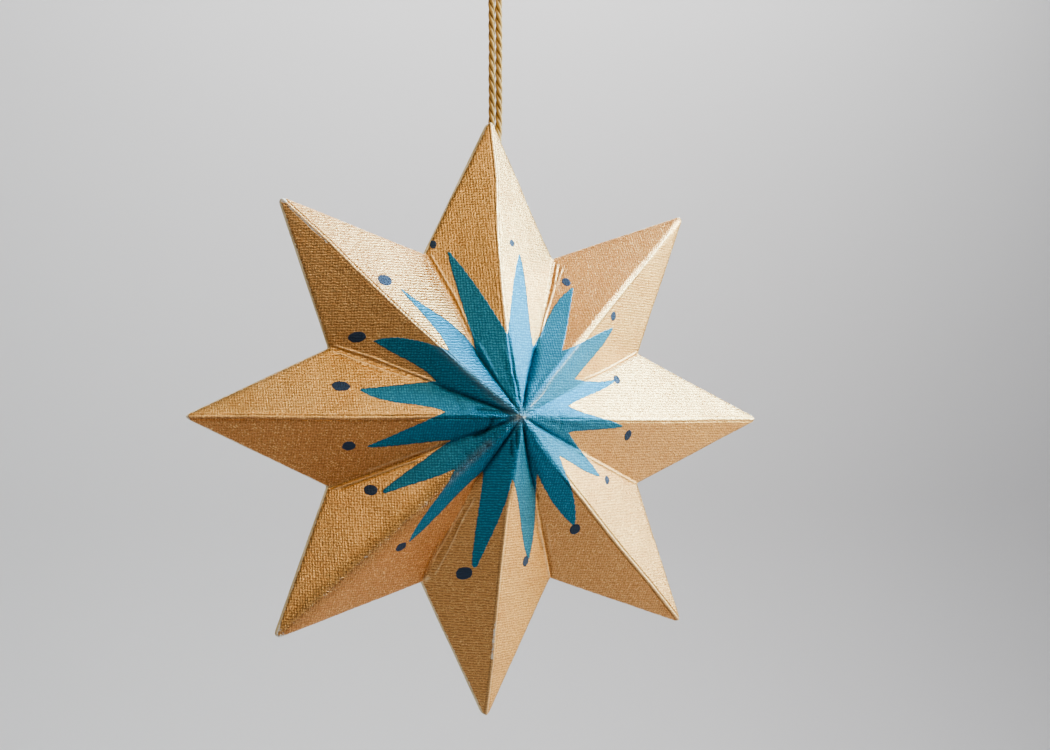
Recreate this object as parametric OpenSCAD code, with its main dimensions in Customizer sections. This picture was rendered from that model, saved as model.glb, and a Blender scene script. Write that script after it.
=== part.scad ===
// Folded card star with a painted starburst, on a doubled hanging cord.
// The origin is where the cord bears on its hook. The star hangs below it, its front to -Y, +Z up.
// Lengths are in millimetres.

/* [Star outline] */
// Number of points of the star
points = 8; // [6:1:10]
// Distance from the middle of the star to the blunt end of a point
tip_r = 75; // [60:1:100]
// How far the end of a point stops short of a sharp corner
tip_blunt = 1; // [0.6:0.1:2]
// Distance from the middle of the star to a notch between two points
notch_r = 44.2; // [38:0.2:50]
// Height of the middle of one face above its rim
rise = 26.6; // [18:0.2:34]

/* [Card] */
// Thickness of one sheet of card
card_t = 1.1; // [0.8:0.1:1.6]
// Width of the glued land along the rim
land_w = 1.5; // [1:0.1:3]

/* [Folds] */
// Width of the raised bead to each side of a ridge
bead_w = 0.9; // [0.5:0.1:1.4]
// Height of the bead along a ridge
bead_h = 0.35; // [0.1:0.05:0.6]
// Depth of the scored line beside each bead
score_d = 0.22; // [0.1:0.02:0.4]
// Distance of the two scored lines of a valley from its middle
valley_w = 0.9; // [0.5:0.1:1.4]
// How much deeper the valleys are drawn in round the middle
gather_d = 1.7; // [0.5:0.1:2.4]
// Depth of the deepest tuck in a facet near the middle
tuck_d = 1.2; // [0.4:0.1:1.6]

/* [Paint] */
// Thickness of the coats of paint
paint_t = 0.12; // [0.08:0.02:0.3]
// Reach of the longest painted spike from the middle
burst_r = 43; // [30:1:46]
// Usual distance of the roots between the spikes from the middle
root_r = 18; // [12:1:22]
// Outward swell of a spike's sides
brush_swell = 0.5; // [0:0.1:1]
// Usual size of a painted dot
dot_d = 3; // [1.6:0.2:4]

/* [Hanging cord] */
// Diameter of the cord
cord_d = 1.8; // [1.2:0.1:1.8]
// Room round the cord where it passes between the sheets
cord_fit = 0.15; // [0.1:0.05:0.2]
// Drop from the hook to the end of the top point
hang_h = 57; // [57:1:60]

/* [Hidden] */

// Angle from one point to the next, and the two outline radii of a sharp star
point_step = 360 / points;
sharp_r = tip_r + tip_blunt;
half_step = point_step / 2;

// The rim edge from a sharp point to a notch, and what follows from it
rim_edge = norm(polar(sharp_r, 0) - polar(notch_r, half_step));
rim_apothem = sharp_r * notch_r * sin(half_step) / rim_edge;
slope = rise / rim_apothem;
rim_h = card_t * sqrt(1 + slope * slope);

// Lengths of the folds, and how fast a line along the rim leaves a fold
ridge_l = norm([sharp_r, rise]);
valley_l = norm([notch_r, rise]);
facet_angle = acos((ridge_l ^ 2 + valley_l ^ 2 - rim_edge ^ 2) / (2 * ridge_l * valley_l));
ridge_sin = valley_l * sin(facet_angle) / rim_edge;
valley_sin = ridge_l * sin(facet_angle) / rim_edge;

// Rings of the folded face, as shares of the way from its middle to the rim
rings = [0.035, 0.08, 0.13, 0.18, 0.24, 0.32, 0.43, 0.58, 0.78, 1];

// Lines across one facet, from its ridge to its valley. A line near a fold keeps its distance
// from it, up to a share of the facet's width, and the middle line halves the facet.
RIDGE = 0;
BEAD_FOOT = 1;
RIDGE_FLANK = 2;
MIDDLE = 3;
VALLEY_FLANK = 4;
VALLEY_SCORE = 5;
VALLEY = 6;
from_ridge = [0, bead_w, 2 * bead_w];
ridge_share = [0, 0.17, 0.34];
from_valley = [2 * valley_w, valley_w, 0];
valley_share = [0.34, 0.17, 0];

// Depth of the tuck in each facet, as shares of the deepest, round the star from the top point
front_tucks = [1, 0.3, 0.5, 0.9, 0.6, 1, 0.8, 0.4, 0.9, 0.7, 0.3, 0.8, 0.5, 0.3, 0.6, 0.4];
back_tucks = [0.4, 0.7, 0.3, 0.6, 0.9, 0.5, 0.8, 0.3, 0.6, 0.9, 0.4, 0.7, 0.3, 0.8, 0.5, 0.6];

// One painted spike on each half facet: its reach as a share of the longest one, and how many
// degrees its tip leans from the middle of the half facet
spikes = [
    [1, 5], [0.92, 5], [0.85, 3], [0.83, 0], [0.78, 0], [0.78, -2], [0.87, -3], [0.84, 1],
    [0.84, 1], [0.76, 1], [0.7, 6], [0.67, 9], [0.77, 7], [0.87, 4], [0.9, 3], [0.97, 4]
];
// The root after each spike: its distance as a share of root_r, and its turn from the fold there
roots = [
    [1.04, 4], [1.26, -1], [1.13, -3], [0.94, -6], [0.89, -4], [1.04, -4], [0.83, -5],
    [0.83, -2], [0.83, 6], [0.83, 8], [0.83, 10], [0.81, 11], [1.11, 7], [1.18, 7], [1.02, 4],
    [1.13, 4]
];
// One painted dot on each half facet: its distance as a share of the longest spike, its lean,
// and its width and height as shares of dot_d
dots = [
    [1.06, 8, 0.9, 1], [1.03, 8, 1.3, 0.9], [0.94, 5, 1.3, 0.9], [0.94, 0, 1.4, 0.8],
    [0.89, -1, 1, 0.7], [0.85, -5, 1, 0.8], [0.93, -5, 0.9, 0.7], [0.91, -1, 1.1, 1.1],
    [0.85, 0, 0.6, 0.9], [0.79, 1, 0.8, 1], [0.76, 6, 0.5, 0.8], [0.78, 4, 0.7, 0.9],
    [0.77, 7, 0.6, 0.7], [0.91, 7, 0.6, 0.8], [0.92, 5, 0.7, 0.7], [1.02, 7, 0.5, 0.6]
];
// Corners of a dot's outline
dot_sides = 14;

// Route of the cord's middle line, from inside the top point up one leg, round the eye and down
cord_up = [
    [-0.4, -72], [0, -68], [0.4, -64], [0.6, -60], [0.7, -56], [0.7, -50], [0.6, -44],
    [0.6, -38], [0.5, -32], [0.4, -26]
];
cord_eye = [
    [-0.1, -21], [-1.6, -16], [-3.3, -11.5], [-4.1, -7], [-3.5, -2.6], [-1.9, 0.2], [0, 0.9],
    [1.9, 0.2], [3.6, -2.6], [4.6, -7], [4.3, -11.5], [3.3, -16], [2.6, -21]
];
cord_down = [
    [2.3, -26], [2.4, -32], [2.5, -38], [2.5, -44], [2.6, -50], [2.6, -56], [2.5, -60],
    [2.3, -64], [1.9, -68], [1.5, -72]
];
cord_sides = 8;
EYE_STEPS = 2;

// A point in the plane of the star, its angle counted from the point to the right
function polar(radius, angle) = [radius * cos(angle), radius * sin(angle)];

// A number kept between 0 and 1, and a soft step between them
function clamp01(t) = min(max(t, 0), 1);
function soft(t) = let (c = clamp01(t)) c * c * (3 - 2 * c);

// Half facets are counted anticlockwise from the top point: an even one runs from its ridge to
// the next valley, an odd one from that valley to the next ridge
function ridge_angle(facet) = 90 + point_step * floor((facet + 1) / 2);
function valley_angle(facet) = 90 + point_step * (floor(facet / 2) + 0.5);

// Share of the way from ridge to valley of a line, at a share of the way out
function line_share(line, out) =
    line == MIDDLE ? 0.5 :
    line < MIDDLE
        ? min(from_ridge[line] / (rim_edge * out * ridge_sin), ridge_share[line])
        : let (i = line - VALLEY_FLANK, narrowing = 1 - 0.7 * soft((out - 0.6) / 0.4))
            1 - min(from_valley[i] * narrowing / (rim_edge * out * valley_sin), valley_share[i]);

// How strongly the card is drawn in round the middle
function gather(out) = soft(out / 0.09) * (1 - soft((out - 0.1) / 0.36));
function pucker(out) = soft((out - 0.04) / 0.1) * (1 - soft((out - 0.16) / 0.18));

// Height of a line above the plain facet
function relief(line, out, tuck) =
    line == RIDGE ? bead_h * soft(out / 0.1) :
    line == BEAD_FOOT ? -score_d * soft(out / 0.2) :
    line == MIDDLE ? -tuck * tuck_d * pucker(out) :
    line == VALLEY_FLANK ? -0.25 * gather_d * gather(out) :
    line == VALLEY_SCORE ? -0.75 * gather_d * gather(out) - score_d * soft(out / 0.4) :
    line == VALLEY ? -gather_d * gather(out) :
    0;

// A point of a face: out is the share of the way to the rim, lift is added to its height
function face_point(facet, line, out, lift) =
    let (blunt = (line == RIDGE && out == 1) ? tip_blunt / sharp_r : 0)
    let (share = line_share(line, out))
    let (ridge_end = polar(sharp_r * (out - blunt), ridge_angle(facet)))
    let (valley_end = polar(notch_r * out, valley_angle(facet)))
    let (place = ridge_end * (1 - share) + valley_end * share)
    [place[0], place[1], rise * (1 - out + blunt) + lift];

// A closed solid under one face, down to a flat foot of the same outline. Lines lists the lines
// used across a facet, and outs the rings.
module face_solid(lines, outs, lift, foot, tucks, relief_on) {
    steps = len(lines) - 1;
    around = 2 * points * steps;
    ring_count = len(outs);
    shell_points = [
        for (out = outs) for (c = [0 : around - 1])
            let (facet = floor(c / steps), q = c % steps)
            let (line = lines[facet % 2 == 0 ? q : steps - q])
            face_point(facet, line, out,
                lift + (relief_on[line] ? relief(line, out, tucks[facet % len(tucks)]) : 0))
    ];
    rim_start = (ring_count - 1) * around;
    foot_points = [for (c = [0 : around - 1])
        let (p = shell_points[rim_start + c]) [p[0], p[1], foot]];
    foot_start = ring_count * around;
    top = foot_start + around;
    bottom = top + 1;
    all_points = concat(shell_points, foot_points, [[0, 0, rise + lift], [0, 0, foot]]);
    faces = concat(
        [for (c = [0 : around - 1]) [top, (c + 1) % around, c]],
        [for (r = [0 : ring_count - 1]) for (c = [0 : around - 1])
            let (n = (c + 1) % around)
            each [[r * around + c, r * around + n, (r + 1) * around + n],
                [r * around + c, (r + 1) * around + n, (r + 1) * around + c]]],
        [for (c = [0 : around - 1]) [bottom, foot_start + c, foot_start + (c + 1) % around]]
    );
    polyhedron(all_points, faces);
}

FULL_LINES = [RIDGE, BEAD_FOOT, RIDGE_FLANK, MIDDLE, VALLEY_FLANK, VALLEY_SCORE, VALLEY];
PLAIN_LINES = [RIDGE, MIDDLE, VALLEY];
ALL_RELIEF = [true, true, true, true, true, true, true];
GATHER_ONLY = [false, false, false, true, false, false, true];

// One face of the star filled down to the seam, with all its folds
module face_form(tucks, foot = 0) {
    face_solid(FULL_LINES, rings, rim_h, foot, tucks, ALL_RELIEF);
}

// The space behind a sheet, which stops at the glued land
module hollow_form(tucks) {
    intersection() {
        face_solid(PLAIN_LINES, rings, 0, -1, tucks, GATHER_ONLY);
        translate([0, 0, -2]) linear_extrude(rise + 4) land_outline();
    }
}

// The star's outline drawn in by the width of the glued land
module land_outline() {
    inner = 1 - land_w / rim_apothem;
    polygon([for (i = [0 : points - 1]) each [
        polar(sharp_r * inner, 90 + point_step * i),
        polar(notch_r * inner, 90 + point_step * (i + 0.5))
    ]]);
}

// One sheet of folded card, its rim in the seam's plane and its face to +Z
module sheet(tucks) {
    difference() {
        face_form(tucks);
        hollow_form(tucks);
    }
}

// From the star's own plane, x right, y up and z to the front, to where it hangs
module hang() {
    translate([0, 0, -hang_h - tip_r]) rotate([90, 0, 0]) children();
}

// Tube of eight sides along a route in the plane y = 0
module tube(route, diameter) {
    last = len(route) - 1;
    ring_points = [for (i = [0 : last])
        let (ahead = route[min(i + 1, last)] - route[max(i - 1, 0)])
        let (side = [ahead[1], -ahead[0]] / norm(ahead))
        for (k = [0 : cord_sides - 1])
            let (turn = 360 / cord_sides * (k + 0.5))
            let (off = side * cos(turn) * diameter / 2)
            [route[i][0] + off[0], sin(turn) * diameter / 2, route[i][1] + off[1]]];
    polyhedron(ring_points, concat(
        [[for (k = [0 : cord_sides - 1]) k]],
        [for (i = [0 : last - 1]) for (k = [0 : cord_sides - 1])
            let (n = (k + 1) % cord_sides)
            each [[i * cord_sides + k, (i + 1) * cord_sides + n, i * cord_sides + n],
                [i * cord_sides + k, (i + 1) * cord_sides + k, (i + 1) * cord_sides + n]]],
        [[for (k = [cord_sides - 1 : -1 : 0]) last * cord_sides + k]]
    ));
}

// A curve through the points of a list, with the same number of steps between each two
function curve_point(a, b, c, d, t) =
    0.5 * (2 * b + (c - a) * t + (2 * a - 5 * b + 4 * c - d) * t ^ 2
        + (3 * b - a - 3 * c + d) * t ^ 3);
function curve(list, steps) =
    let (last = len(list) - 1)
    [for (i = [0 : last - 1]) for (k = [0 : steps - 1])
        curve_point(list[max(i - 1, 0)], list[i], list[i + 1], list[min(i + 2, last)], k / steps)];

cord_route = concat(cord_up, curve(concat([cord_up[len(cord_up) - 1]], cord_eye, [cord_down[0]]),
    EYE_STEPS), cord_down);

// The two passages of the cord between the sheets
module cord_passages() {
    tube(cord_up, cord_d + 2 * cord_fit);
    tube(cord_down, cord_d + 2 * cord_fit);
}

module front_shell() {
    color("goldenrod") difference() {
        hang() sheet(front_tucks);
        cord_passages();
    }
}

module back_shell() {
    color("darkgoldenrod") difference() {
        hang() rotate([0, 180, 0]) sheet(back_tucks);
        cord_passages();
    }
}

// A coat of paint on the front sheet over the outline given as children
module coat() {
    hang() intersection() {
        difference() {
            translate([0, 0, paint_t]) face_form(front_tucks);
            face_form(front_tucks, -paint_t);
        }
        translate([0, 0, rim_h / 2]) linear_extrude(rise + 2 * rim_h) children();
    }
}

// Angle of the middle of a half facet, and of the fold that ends it
function facet_angle_at(facet) = 90 + half_step * (facet + 0.5);
function fold_angle_after(facet) = 90 + half_step * (facet + 1);

// Tip of the spike on a half facet, and the root after it
function spike_tip(facet) =
    let (spike = spikes[facet % len(spikes)])
    polar(burst_r * spike[0], facet_angle_at(facet) + spike[1]);
function root_after(facet) =
    let (root = roots[(facet + len(roots)) % len(roots)])
    polar(root_r * root[0], fold_angle_after(facet) + root[1]);

// Point at mid side of a spike, swelled outwards
function side_point(a, b) =
    let (along = b - a)
    (a + b) / 2 + [along[1], -along[0]] / norm(along) * brush_swell;

module starburst_outline() {
    polygon([for (facet = [0 : 2 * points - 1])
        let (before = root_after(facet - 1), tip = spike_tip(facet), after = root_after(facet))
        each [side_point(before, tip), tip, side_point(tip, after), after]]);
}

// One dot: an oval with its width across the star and its height up the star
module oval(wide, high) {
    polygon([for (k = [0 : dot_sides - 1])
        let (turn = 360 / dot_sides * k)
        [wide / 2 * cos(turn), high / 2 * sin(turn)]]);
}

module dots_outline() {
    for (facet = [0 : 2 * points - 1])
        let (dot = dots[facet % len(dots)])
        translate(polar(burst_r * dot[0], facet_angle_at(facet) + dot[1]))
            oval(dot_d * dot[2], dot_d * dot[3]);
}

// The dots were painted over the spikes, so the spikes stop where a dot covers them
module starburst_paint() {
    color("teal") coat() difference() {
        starburst_outline();
        dots_outline();
    }
}

module dots_paint() {
    color("darkslateblue") coat() dots_outline();
}

module hanging_cord() {
    color("peru") tube(cord_route, cord_d);
}

front_shell();
back_shell();
starburst_paint();
dots_paint();
hanging_cord();
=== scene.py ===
"""Dressed model of a hanging eight-pointed star of folded, gold-painted card.

The star has a plane of its own: x to the right, y up, z to the front, lengths in
millimetres, and its middle at the origin. Only the last step of each piece takes it to
metres and to the place where it hangs, its front to -Y and its cord's eye at the origin.
Half facets are counted anticlockwise from the top point, so an even one runs from its
ridge to the next valley and an odd one from that valley to the next ridge.
"""

import logging
import math
from dataclasses import dataclass, field
from enum import Enum
from random import Random
from typing import Iterable, Optional, Sequence, Union

import bmesh
import bpy
import numpy as np
from mathutils import Matrix, Vector


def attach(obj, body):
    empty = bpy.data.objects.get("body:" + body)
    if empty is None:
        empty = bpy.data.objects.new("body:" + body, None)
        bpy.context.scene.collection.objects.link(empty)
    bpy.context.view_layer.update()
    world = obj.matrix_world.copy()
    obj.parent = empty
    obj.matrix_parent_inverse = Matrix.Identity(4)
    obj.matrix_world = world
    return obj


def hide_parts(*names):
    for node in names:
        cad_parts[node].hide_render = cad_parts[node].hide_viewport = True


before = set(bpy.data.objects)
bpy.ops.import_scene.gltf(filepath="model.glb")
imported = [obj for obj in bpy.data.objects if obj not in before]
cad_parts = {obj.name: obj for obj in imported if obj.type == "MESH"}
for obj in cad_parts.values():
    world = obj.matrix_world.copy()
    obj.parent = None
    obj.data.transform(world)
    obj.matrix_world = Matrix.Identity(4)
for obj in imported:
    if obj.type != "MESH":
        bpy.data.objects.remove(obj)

LOG = logging.getLogger("card_star")
MM = 0.001
Point = tuple[float, float]
Colour = tuple[float, float, float]
Value = Union[float, Colour, bpy.types.NodeSocket]


class Slot(Enum):
    """The record's material slots; no piece in this script takes its finish from them."""

    GOLD_CARD = "gold_card"
    OCHRE_CORD = "ochre_cord"


class Face(Enum):
    """Which way a folded sheet bulges."""

    FRONT = 1
    BACK = -1


def soft(value: np.ndarray) -> np.ndarray:
    """A soft step from 0 to 1 as value goes from 0 to 1."""
    t = np.clip(value, 0.0, 1.0)
    return t * t * (3.0 - 2.0 * t)


def bell(distance: np.ndarray, width: float) -> np.ndarray:
    """A smooth bump that is 1 at distance 0 and fades over width."""
    return np.exp(-np.square(distance / width))


def polar(radius: float, degrees: float) -> Point:
    """The point at a radius and an angle from the star's right-hand side."""
    turn = math.radians(degrees)
    return radius * math.cos(turn), radius * math.sin(turn)


def beside(fold: int, *places: Point) -> tuple[Point, ...]:
    """A path told by how it runs beside a fold.

    Args:
        fold: which fold, counted anticlockwise from the top point's ridge.
        places: distance from the middle and distance beside the fold, anticlockwise
            of it if positive, for each corner of the path.

    Returns:
        The path in the star's plane.
    """
    along = polar(1.0, 90.0 + 22.5 * fold)
    return tuple((r * along[0] - p * along[1], r * along[1] + p * along[0]) for r, p in places)


def distance_to_path(flat: np.ndarray, path: Sequence[Point]) -> np.ndarray:
    """Shortest distance from each point to an open path.

    Args:
        flat: the points, one row each.
        path: corners of the path.

    Returns:
        One distance for each point.
    """
    nearest = np.full(len(flat), 1e9)
    for start, end in zip(path[:-1], path[1:]):
        a, b = np.array(start), np.array(end)
        along = b - a
        t = np.clip(((flat - a) @ along) / (along @ along), 0.0, 1.0)
        nearest = np.minimum(nearest, np.linalg.norm(flat - a - t[:, None] * along, axis=1))
    return nearest


def signed_distance(flat: np.ndarray, outline: Sequence[Point]) -> np.ndarray:
    """Distance to a closed outline, positive inside it.

    Args:
        flat: the points, one row each.
        outline: corners of the outline, the last joined to the first.

    Returns:
        One signed distance for each point.
    """
    inside = np.zeros(len(flat), bool)
    x, y = flat[:, 0], flat[:, 1]
    for (ax, ay), (bx, by) in zip(outline, list(outline[1:]) + [outline[0]]):
        crosses = (ay > y) != (by > y)
        if ay != by:
            inside ^= crosses & (x < ax + (y - ay) * (bx - ax) / (by - ay))
    away = distance_to_path(flat, list(outline) + [outline[0]])
    return np.where(inside, away, -away)


def ripples(flat: np.ndarray, wavelengths: Sequence[float], seed: int) -> np.ndarray:
    """Slow irregular waves over the plane, from about -1 to 1.

    Args:
        flat: the points, one row each.
        wavelengths: the wave lengths that are mixed.
        seed: start of the sequence of directions and phases.

    Returns:
        One height for each point.
    """
    draw = Random(seed)
    total = np.zeros(len(flat))
    for length in wavelengths:
        for _ in range(3):
            turn, phase = draw.uniform(0.0, math.tau), draw.uniform(0.0, math.tau)
            across = flat[:, 0] * math.cos(turn) + flat[:, 1] * math.sin(turn)
            total += np.sin(across * math.tau / length + phase)
    return total / (1.7 * math.sqrt(3.0 * len(wavelengths)))


@dataclass(frozen=True)
class Ridge:
    """How one ridge is folded: its bead, the lines pressed beside it and its wear.

    before is the side that lies clockwise of the ridge and after the other one.
    """

    bead: float = 0.34
    bead_width: float = 0.5
    line_before: float = 0.16
    line_after: float = 0.16
    rounding: float = 0.9
    rough: float = 0.0
    wear: float = 0.25


@dataclass(frozen=True)
class Valley:
    """How one valley is folded: its bead, the lines beside it, and its crease at the middle.

    bead and line are for a valley that has no marks of its own. gather is how far the
    card is drawn in round the middle, and pinch how sharp the crease is there.
    """

    bead: float = 0.0
    line: float = 0.0
    gather: float = 1.0
    pinch: float = 1.0


@dataclass(frozen=True)
class Drift:
    """How many degrees a fold strays from its straight line, at three places on its way out."""

    inner: float = 0.0
    near: float = 0.0
    half_out: float = 0.0


@dataclass(frozen=True)
class Crease:
    """A wrinkle pressed into the card, or with a negative depth a fold that stands up."""

    path: tuple[Point, ...]
    depth: float
    width: float


@dataclass(frozen=True)
class WornLine:
    """A line along which the paint is rubbed off or smudged, and how strongly."""

    path: tuple[Point, ...]
    width: float
    strength: float


@dataclass(frozen=True)
class FacetPlace:
    """Where points of the plane lie on the folded face, one entry a point."""

    facet: np.ndarray
    out: np.ndarray
    share: np.ndarray
    from_ridge: np.ndarray
    from_valley: np.ndarray
    from_rim: np.ndarray


@dataclass
class FaceForm:
    """The face's height over its plain facets, its painted shade in creases, and its burnishing and
    painted highlight on beads.
    """

    height: np.ndarray
    groove_shade: np.ndarray
    burnish_and_highlight: np.ndarray

    def sink(self, depth: np.ndarray, dark: np.ndarray) -> None:
        """Presses the face in by a depth, and darkens it as painted shade where it is pressed."""
        self.height -= depth
        self.groove_shade = np.maximum(self.groove_shade, dark)


@dataclass(frozen=True)
class StarPlan:
    """Sizes of the folded star that both sheets share, in millimetres."""

    points: int = 8
    sharp_r: float = 76.0
    blunt_from: float = 74.2
    blunt_squeeze: float = 0.694
    notch_r: float = 44.2
    rise: float = 26.6
    card_t: float = 1.1
    land_w: float = 1.5
    centre_drop: float = 132.0

    @property
    def half_step(self) -> float:
        """Angle between a ridge and the next valley, in degrees."""
        return 180.0 / self.points

    @property
    def ridge_l(self) -> float:
        """Length of a ridge."""
        return math.hypot(self.sharp_r, self.rise)

    @property
    def valley_l(self) -> float:
        """Length of a valley."""
        return math.hypot(self.notch_r, self.rise)

    @property
    def rim_edge(self) -> float:
        """Length of the rim from a point to a notch."""
        tip, notch = polar(self.sharp_r, 0.0), polar(self.notch_r, self.half_step)
        return math.dist(tip, notch)

    @property
    def rim_apothem(self) -> float:
        """Distance of the rim's straight edges from the middle."""
        turn = math.radians(self.half_step)
        return self.sharp_r * self.notch_r * math.sin(turn) / self.rim_edge

    @property
    def rim_h(self) -> float:
        """Height of the cut edge, which is the card's thickness seen upright."""
        return self.card_t * math.hypot(1.0, self.rise / self.rim_apothem)

    @property
    def land_share(self) -> float:
        """Where the glued land ends, as a share of the way from the middle to the rim."""
        return 1.0 - self.land_w / self.rim_apothem

    @property
    def facet_sine(self) -> float:
        """Sine of the angle between a ridge and a valley in the facet's own plane."""
        ridge, valley = self.ridge_l, self.valley_l
        cosine = (ridge**2 + valley**2 - self.rim_edge**2) / (2.0 * ridge * valley)
        return math.sqrt(1.0 - cosine**2)

    def corner(self, index: int) -> Point:
        """Corner of the outline, even for a point and odd for a notch."""
        return polar(self.notch_r if index % 2 else self.sharp_r, 90.0 + self.half_step * index)

    def fold_ends(self, facet: np.ndarray) -> tuple[np.ndarray, np.ndarray]:
        """Outer ends of the two folds that bound each half facet.

        Args:
            facet: numbers of the half facets.

        Returns:
            The end of the ridge and that of the valley, one row a half facet.
        """
        ridge_turn = np.radians(90.0 + 2 * self.half_step * np.floor((facet + 1) / 2))
        valley_turn = np.radians(90.0 + 2 * self.half_step * (np.floor(facet / 2) + 0.5))
        ridge = self.sharp_r * np.stack([np.cos(ridge_turn), np.sin(ridge_turn)], axis=1)
        valley = self.notch_r * np.stack([np.cos(valley_turn), np.sin(valley_turn)], axis=1)
        return ridge, valley

    def locate(self, flat: np.ndarray) -> FacetPlace:
        """Finds facets, shares and distances for points of the plane.

        Args:
            flat: the points, one row each.

        Returns:
            Their places on the folded face.
        """
        degrees = np.degrees(np.arctan2(flat[:, 1], flat[:, 0]))
        facet = np.floor((degrees - 90.0) / self.half_step).astype(int) % (2 * self.points)
        ridge, valley = self.fold_ends(facet)
        area = ridge[:, 0] * valley[:, 1] - ridge[:, 1] * valley[:, 0]
        to_ridge = (flat[:, 0] * valley[:, 1] - flat[:, 1] * valley[:, 0]) / area
        to_valley = (ridge[:, 0] * flat[:, 1] - ridge[:, 1] * flat[:, 0]) / area
        out = np.clip(to_ridge + to_valley, 0.0, 1.0)
        return FacetPlace(
            facet=facet,
            out=out,
            share=to_valley / np.maximum(out, 1e-6),
            from_ridge=np.abs(to_valley) * self.valley_l * self.facet_sine,
            from_valley=np.abs(to_ridge) * self.ridge_l * self.facet_sine,
            from_rim=(1.0 - out) * self.rim_apothem,
        )

    def hang(self, star: np.ndarray, face: Face) -> np.ndarray:
        """Takes points from the star's plane to where it hangs, in metres.

        Args:
            star: x, y and z in the star's own plane, one row each.
            face: the front sheet, or the back one, which is turned half round.

        Returns:
            The points in the row frame.
        """
        side = float(face.value)
        x, y, z = star[:, 0], star[:, 1], star[:, 2]
        return np.stack([side * x, -side * z, y - self.centre_drop], axis=1) * MM


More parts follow.
